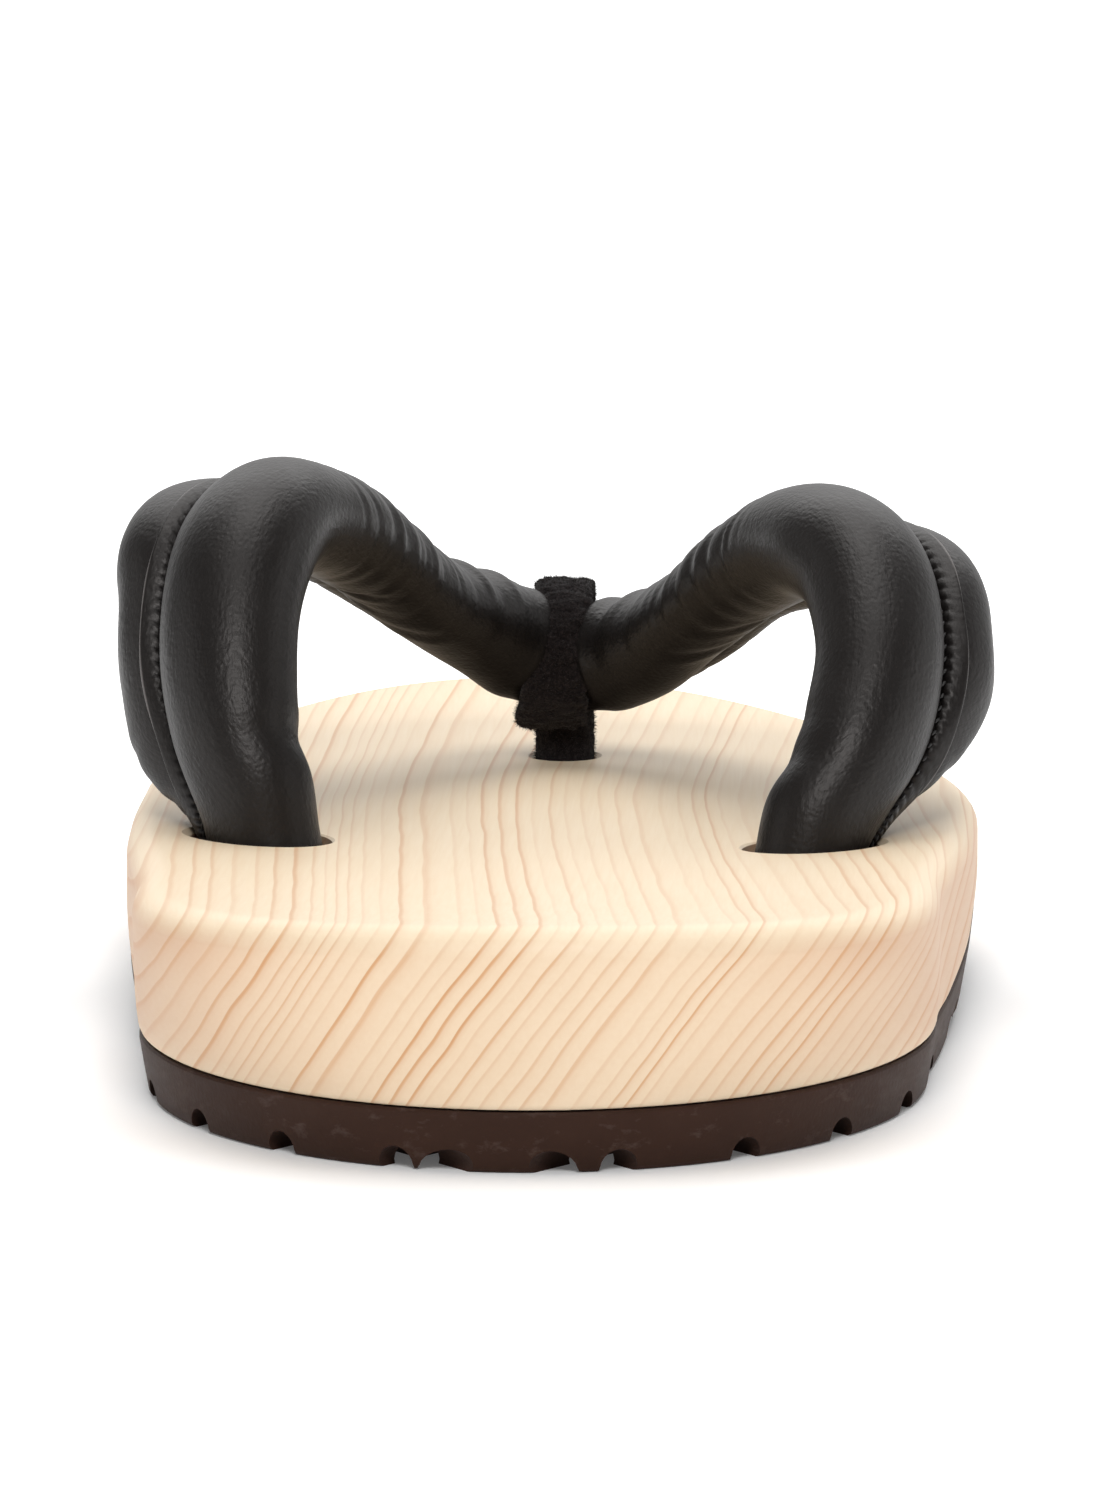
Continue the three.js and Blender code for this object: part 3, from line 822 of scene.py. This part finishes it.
def make_post(band_low):
    """The loop's post, from just above the rubber up into the band."""
    foot = float(along(SIDE_PROFILE, "joint", np.array([float(FRONT_HOLE_Y)]))[0]) + 1.2
    turn = np.linspace(0, 2 * math.pi, 64, endpoint=False)
    rings = []
    for height in np.linspace(foot, band_low + LOOP_THICKNESS, 40):
        x, y = POST_HALF_X * np.cos(turn), FRONT_HOLE_Y + POST_HALF_Y * np.sin(turn)
        ring = np.c_[x, y, np.full(len(turn), height)]
        out = np.c_[np.cos(turn), np.sin(turn), 0 * turn]
        lump = knobs(ring, 1.1, 0.25, 7.0) + knobs(ring, 0.45, 0.12, 9.0)
        rings.append(ring + out * (lump - 0.15)[:, None])
    return lofted("loop_post", rings, closed_in=False)


FIBRE_COUNT = 15000
FIBRE_RADIUS = 0.045
SHORT_FIBRE, LONG_FIBRE = 0.35, 0.85
LOWEST_FIBRE = 23  # height above which the nap is seen


def make_nap(band):
    """The nap's loose fibres: one thin three-sided hair, repeated all over the loop."""
    chance = np.random.default_rng(23)
    mesh = band.data
    mesh.calc_loop_triangles()
    at = corners(band)
    thirds = np.array([tuple(t.vertices) for t in mesh.loop_triangles])
    thirds = thirds[np.lexsort(at[thirds].mean(axis=1).round(3).T)]  # in order of place, the same each time
    a, b, c = (at[thirds[:, k]] for k in range(3))
    cross = np.cross(b - a, c - a)
    area = np.linalg.norm(cross, axis=1)
    middle_z = (a[:, 2] + b[:, 2] + c[:, 2]) / 3
    seen = area * (middle_z > LOWEST_FIBRE)
    picked = chance.choice(len(area), FIBRE_COUNT, p=seen / seen.sum())
    s, t = np.sqrt(chance.random(FIBRE_COUNT)), chance.random(FIBRE_COUNT)
    root = (1 - s)[:, None] * a[picked] + (s * (1 - t))[:, None] * b[picked] + (s * t)[:, None] * c[picked]
    out = cross[picked] / area[picked][:, None]
    lean = unit(out + 0.75 * chance.normal(size=(FIBRE_COUNT, 3)))
    length = chance.uniform(SHORT_FIBRE, LONG_FIBRE, FIBRE_COUNT)[:, None]
    side = unit(np.cross(lean, chance.normal(size=(FIBRE_COUNT, 3))))
    other = np.cross(lean, side)
    foot = root - 0.1 * out
    thirds_of_turn = (0, 2.094, 4.189)
    corners_of = [
        foot + FIBRE_RADIUS * (math.cos(k) * side + math.sin(k) * other) for k in thirds_of_turn
    ]
    corners_of.append(root + length * lean)
    points = np.stack(corners_of, axis=1).reshape(-1, 3)
    hair = [(2, 1, 0), (0, 1, 3), (1, 2, 3), (2, 0, 3)]
    faces = [(4 * k + p, 4 * k + q, 4 * k + r) for k in range(FIBRE_COUNT) for p, q, r in hair]
    deselect()
    bpy.ops.mesh.primitive_cone_add(vertices=3, radius1=FIBRE_RADIUS * MM, depth=LONG_FIBRE * MM)
    nap = named("loop_nap")
    nap.data.clear_geometry()
    nap.data.from_pydata(placed(points).tolist(), [], faces)
    return nap


# ---- finishes --------------------------------------------------------------------------------------------
class Finish:
    """One material and the nodes that make it."""

    def __init__(self, name, plain):
        self.material = bpy.data.materials.new(name)
        self.material.use_nodes = True
        self.tree = self.material.node_tree
        self.surface = self.tree.nodes["Principled BSDF"]
        for socket, value in plain.items():
            self.surface.inputs[socket].default_value = value

    def node(self, kind, inputs=None, **settings):
        made = self.tree.nodes.new("ShaderNode" + kind)
        for name, value in settings.items():
            setattr(made, name, value)
        for socket, value in (inputs or {}).items():
            self.feed(made.inputs[socket], value)
        return made

    def feed(self, socket, value):
        if isinstance(value, bpy.types.NodeSocket):
            self.tree.links.new(value, socket)
        else:
            socket.default_value = value

    def sum(self, operation, *values):
        made = self.node("Math", {k: value for k, value in enumerate(values)}, operation=operation)
        return made.outputs[0]

    def place(self, scale, source="Object"):
        """Object coordinates in metres, or the piece's own map in decimetres, times a scale on each axis."""
        coordinates = self.node("TexCoord").outputs[source]
        return self.node("Mapping", {"Vector": coordinates, "Scale": scale}).outputs[0]

    def noise(self, vector, scale, detail=2.0, rough=0.5, **settings):
        inputs = {"Vector": vector, "Scale": scale, "Detail": detail, "Roughness": rough}
        return self.node("TexNoise", inputs, **settings).outputs["Fac"]

    def ramp(self, factor, *stops):
        """A colour or grey for each place of a factor."""
        made = self.node("ValToRGB", {"Fac": factor})
        line = made.color_ramp
        while len(line.elements) < len(stops):
            line.elements.new(0.5)
        for element, (place, colour) in zip(line.elements, stops):
            element.position = place
            element.color = (*colour, 1) if isinstance(colour, tuple) else (colour, colour, colour, 1)
        return made.outputs["Color"]

    def mix(self, factor, one, other, blend="MIX"):
        made = self.node("Mix", data_type="RGBA", blend_type=blend)
        for socket, value in ((made.inputs[0], factor), (made.inputs[6], one), (made.inputs[7], other)):
            if isinstance(value, tuple) and len(value) == 3:
                value = (*value, 1)
            self.feed(socket, value)
        return made.outputs[2]

    def bump(self, height, distance, strength=1.0, below=None):
        inputs = {"Height": height, "Distance": distance, "Strength": strength}
        if below is not None:
            inputs["Normal"] = below
        return self.node("Bump", inputs).outputs[0]

    def set(self, socket, value):
        self.feed(self.surface.inputs[socket], value)


def cypress():
    """Pale cypress: growth rings round a far axis, as lengthwise lines on top and slanted ones behind."""
    wood = Finish("cypress_wood", {"Specular IOR Level": 0.35})
    mm = wood.place((1000, 1000, 1000))
    slow = wood.noise(wood.place((8, 5, 8)), 1.0, 1.0)
    waver = wood.noise(wood.place((50, 14, 50)), 1.0, 2.0)
    axes = wood.node("SeparateXYZ", {"Vector": mm})
    from_x = wood.sum("SUBTRACT", axes.outputs[0], 300.0)
    from_z = wood.sum("SUBTRACT", axes.outputs[2], -190.0)
    squares = (wood.sum("MULTIPLY", away, away) for away in (from_x, from_z))
    radius = wood.sum("SQRT", wood.sum("ADD", *squares))
    radius = wood.sum("MULTIPLY_ADD", slow, 11.0, radius)
    radius = wood.sum("MULTIPLY_ADD", waver, 1.1, radius)
    radius = wood.sum("MULTIPLY_ADD", wood.noise(wood.place((120, 45, 120)), 1.0, 1.0), 0.6, radius)
    far = wood.sum("MULTIPLY", radius, 0.085)
    crowding = wood.node("TexNoise", {"W": far, "Scale": 1.0, "Detail": 1.0}, noise_dimensions="1D")
    rings = wood.sum("MULTIPLY", radius, 0.5)
    rings = wood.sum("MULTIPLY_ADD", crowding.outputs["Fac"], 2.6, rings)
    within = wood.sum("FRACT", rings)
    ring_number = wood.sum("FLOOR", rings)
    strength = wood.node("TexWhiteNoise", {"W": ring_number}, noise_dimensions="1D").outputs["Value"]
    strength = wood.sum("MULTIPLY_ADD", wood.sum("POWER", strength, 1.4), 0.75, 0.25)
    late = wood.ramp(within, (0.0, 0.0), (0.4, 0.05), (0.70, 0.30), (0.85, 1.0), (0.94, 0.95), (0.99, 0.0))
    line = wood.sum("MULTIPLY", late, strength)
    fibre = wood.noise(wood.place((1500, 26, 1500)), 1.0, 3.0, 0.6)
    blotch = wood.noise(wood.place((26, 9, 26)), 1.0, 3.0)
    outward = wood.node("SeparateXYZ", {"Vector": wood.node("NewGeometry").outputs["Normal"]}).outputs
    wall = wood.ramp(wood.sum("ABSOLUTE", outward[2]), (0.1, 1.0), (0.7, 0.0))
    flank_shade = wood.ramp(wood.sum("ABSOLUTE", outward[1]), (0.55, 1.0), (0.97, 0.3))
    pale = wood.mix(blotch, (0.83, 0.665, 0.465), (0.89, 0.75, 0.565))
    pale = wood.mix(wood.ramp(fibre, (0.3, 0.0), (0.75, 0.35)), pale, (0.80, 0.62, 0.42))
    # Darker walls: on the sides this is painted shade; the lighter touch on the back stands for its darker
    # end grain.
    pale = wood.mix(wood.sum("MULTIPLY", wood.sum("MULTIPLY", wall, flank_shade), 0.75), pale, (0.66, 0.42, 0.27))
    seen = wood.sum("MULTIPLY", line, wood.sum("MULTIPLY_ADD", wall, 0.35, 0.6))
    colour = wood.mix(seen, pale, (0.62, 0.31, 0.135))
    wood.set("Base Color", colour)
    wood.set("Roughness", wood.sum("MULTIPLY_ADD", fibre, 0.16, 0.42))
    wood.set("Normal", wood.bump(fibre, 0.00006, 0.5))
    return wood.material


def brown_rubber():
    rubber = Finish("brown_rubber", {"Specular IOR Level": 0.13, "Specular Tint": (1.0, 0.85, 0.78, 1)})
    cloud = rubber.noise(rubber.place((45, 45, 60)), 1.0, 4.0, 0.6)
    scuff = rubber.noise(rubber.place((260, 90, 420)), 1.0, 5.0, 0.7)
    pores = rubber.noise(rubber.place((1600, 1600, 1600)), 1.0, 2.0)
    worn = rubber.ramp(scuff, (0.56, 0.0), (0.74, 1.0))
    colour = rubber.mix(cloud, (0.026, 0.012, 0.008), (0.046, 0.022, 0.015))
    colour = rubber.mix(rubber.sum("MULTIPLY", worn, 0.35), colour, (0.13, 0.095, 0.085))
    rubber.set("Base Color", colour)
    rubber.set("Roughness", rubber.sum("MULTIPLY_ADD", scuff, 0.3, 0.42))
    rough = rubber.bump(pores, 0.00008, 0.5)
    rubber.set("Normal", rubber.bump(cloud, 0.0004, 0.3, rough))
    return rubber.material


def black_leather(name="black_leather", edge_highlight=False):
    leather = Finish(name, {"Specular Tint": (1.0, 0.955, 0.93, 1)})
    fine_place = leather.place((1500, 1500, 1500))
    grain = leather.node("TexVoronoi", {"Vector": fine_place, "Scale": 1.0}, feature="SMOOTH_F1")
    fine = leather.noise(leather.place((2600, 2600, 2600)), 1.0, 3.0)
    drawn = leather.noise(leather.place((160, 60, 1), "UV"), 1.0, 3.0, 0.6)
    mottle = leather.noise(leather.place((90, 90, 90)), 1.0, 4.0)
    colour = leather.mix(mottle, (0.0055, 0.0045, 0.0042), (0.0090, 0.0075, 0.0070))
    if edge_highlight:
        # a painted highlight along the cut edge, 3.05 to 3.55 mm out from the valley
        across = leather.node("SeparateXYZ", {"Vector": leather.place((100, 100, 1), "UV")}).outputs[0]
        tenth = leather.sum("MULTIPLY", across, 0.1)
        edge = leather.ramp(tenth, (0.305, 0.0), (0.325, 1.0), (0.35, 1.0), (0.355, 0.0))
        colour = leather.mix(edge, colour, (0.11, 0.10, 0.097))
    outward = leather.node("NewGeometry").outputs["Normal"]
    upward = leather.node("SeparateXYZ", {"Vector": outward}).outputs[2]
    share_up = leather.sum("MULTIPLY_ADD", upward, 0.5, 0.5)
    underside_shade = leather.ramp(share_up, (0.12, 0.15), (0.5, 1.0))  # painted shade: less gloss where the strap faces down
    leather.set("Base Color", colour)
    leather.set("Specular IOR Level", leather.sum("MULTIPLY", underside_shade, 0.34))
    leather.set("Roughness", leather.sum("MULTIPLY_ADD", mottle, 0.12, 0.37))
    pebble = leather.bump(grain.outputs["Distance"], 0.00012, 0.45)
    hair = leather.bump(fine, 0.00006, 0.35, pebble)
    leather.set("Normal", leather.bump(drawn, 0.0003, 0.3, hair))
    return leather.material


def seam_thread():
    thread = Finish("seam_thread", {"Roughness": 0.55})
    twist = thread.noise(thread.place((2200, 2200, 2200)), 1.0, 2.0)
    thread.set("Base Color", thread.mix(twist, (0.008, 0.007, 0.007), (0.03, 0.028, 0.027)))
    thread.set("Normal", thread.bump(twist, 0.0001, 0.6))
    return thread.material


def napped_cloth(name, dark, light):
    plain = {"Roughness": 0.95, "Specular IOR Level": 0.1, "Sheen Weight": 0.08, "Sheen Roughness": 0.5}
    nap = Finish(name, plain)
    curl = nap.noise(nap.place((1900, 1900, 1900)), 1.0, 4.0, 0.7)
    patch = nap.noise(nap.place((260, 260, 260)), 1.0, 3.0)
    colour = nap.mix(nap.ramp(curl, (0.45, 0.0), (0.75, 1.0)), dark, light)
    nap.set("Base Color", nap.mix(nap.sum("MULTIPLY", patch, 0.5), colour, dark))
    nap.set("Normal", nap.bump(curl, 0.0005, 0.8))
    return nap.material


# ---- building and dressing the sandal --------------------------------------------------------------------
def dress(piece, finish, slot, *stands_for):
    """Gives a piece its finish and hides the part's nodes that it stands for; its slot is not used."""
    piece.data.materials.clear()
    piece.data.materials.append(finish)
    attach(piece, "root")
    if stands_for:
        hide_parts(*stands_for)


base = make_wood_base()
dress(base, cypress(), "cypress_wood", "wooden_base")

tread = make_tread()
dress(tread, brown_rubber(), "brown_rubber", "rubber_outsole")

cover = make_strap()
dress(cover, black_leather(), "black_leather", "padded_strap")

flange = make_flange()
dress(flange, black_leather("flange_leather", edge_highlight=True), "black_leather")

stitches = make_stitches()
dress(stitches, seam_thread(), "black_leather")

band = make_loop()
felt = napped_cloth("napped_cloth", (0.006, 0.004, 0.004), (0.035, 0.027, 0.026))
dress(band, felt, "napped_cloth", "front_loop")

nap = make_nap(band)
fluff = napped_cloth("nap_fibres", (0.010, 0.007, 0.007), (0.05, 0.04, 0.038))
dress(nap, fluff, "napped_cloth")


# ---- floor, light and camera -----------------------------------------------------------------------------
def make_floor():
    deselect()
    bpy.ops.mesh.primitive_plane_add(size=30)
    floor = named("studio_floor")
    pale = Finish("pale_floor", {"Roughness": 0.9, "Specular IOR Level": 0.1})
    speck = pale.noise(pale.place((3, 3, 3)), 1.0, 2.0)
    pale.set("Base Color", pale.mix(speck, (0.92, 0.92, 0.92), (0.94, 0.94, 0.94)))
    # Painted light: the floor glows, faintly by the sandal and more further out, standing in for lamps on
    # the far floor.
    away = pale.node("VectorMath", {0: pale.place((1, 1, 1))}, operation="LENGTH").outputs["Value"]
    pale.set("Emission Color", pale.ramp(away, (0.12, 0.08), (0.36, 0.6)))
    pale.surface.inputs["Emission Strength"].default_value = 1.0
    floor.data.materials.append(pale.material)


def add_lamp(name, place, target, size, power):
    lamp = bpy.data.objects.new(name, bpy.data.lights.new(name, "AREA"))
    lamp.data.shape = "RECTANGLE"
    lamp.data.size, lamp.data.size_y = size
    lamp.data.energy = power
    lamp.location = place
    lamp.rotation_euler = (Vector(target) - Vector(place)).to_track_quat("-Z", "Y").to_euler()
    bpy.context.collection.objects.link(lamp)


def add_camera():
    camera = bpy.data.objects.new("camera", bpy.data.cameras.new("camera"))
    camera.location = (0.0388, -1.4355, 0.235)
    target = Vector((0.0, 0.0, 0.036))
    camera.rotation_euler = (target - camera.location).to_track_quat("-Z", "Y").to_euler()
    camera.data.lens = 249
    camera.data.clip_end = 100
    bpy.context.collection.objects.link(camera)
    bpy.context.scene.camera = camera


make_floor()
add_lamp("overhead_softbox", (0.0, 0.12, 1.25), (0, 0, 0), (0.9, 0.85), 8.5)
add_lamp("rear_softbox", (0.0, 1.4, 1.5), (0, 0, 0), (2.6, 1.1), 21)
add_lamp("backdrop_light", (0.0, 2.2, 0.75), (0, 0, 0.1), (3.6, 1.4), 15)
add_lamp("front_softbox", (0.05, -1.35, 1.1), (0, 0, 0.03), (0.5, 0.5), 14)
add_lamp("left_panel", (-1.3, -0.2, 0.35), (0, 0, 0.05), (1.6, 0.7), 3)
add_lamp("right_panel", (1.3, 0.1, 0.35), (0, 0, 0.05), (1.6, 0.7), 3.5)
world = bpy.data.worlds.new("studio")
world.use_nodes = True
world.node_tree.nodes["Background"].inputs["Color"].default_value = (1, 1, 1, 1)
world.node_tree.nodes["Background"].inputs["Strength"].default_value = 0.1
bpy.context.scene.world = world
bpy.context.scene.view_settings.view_transform = "Standard"
add_camera()
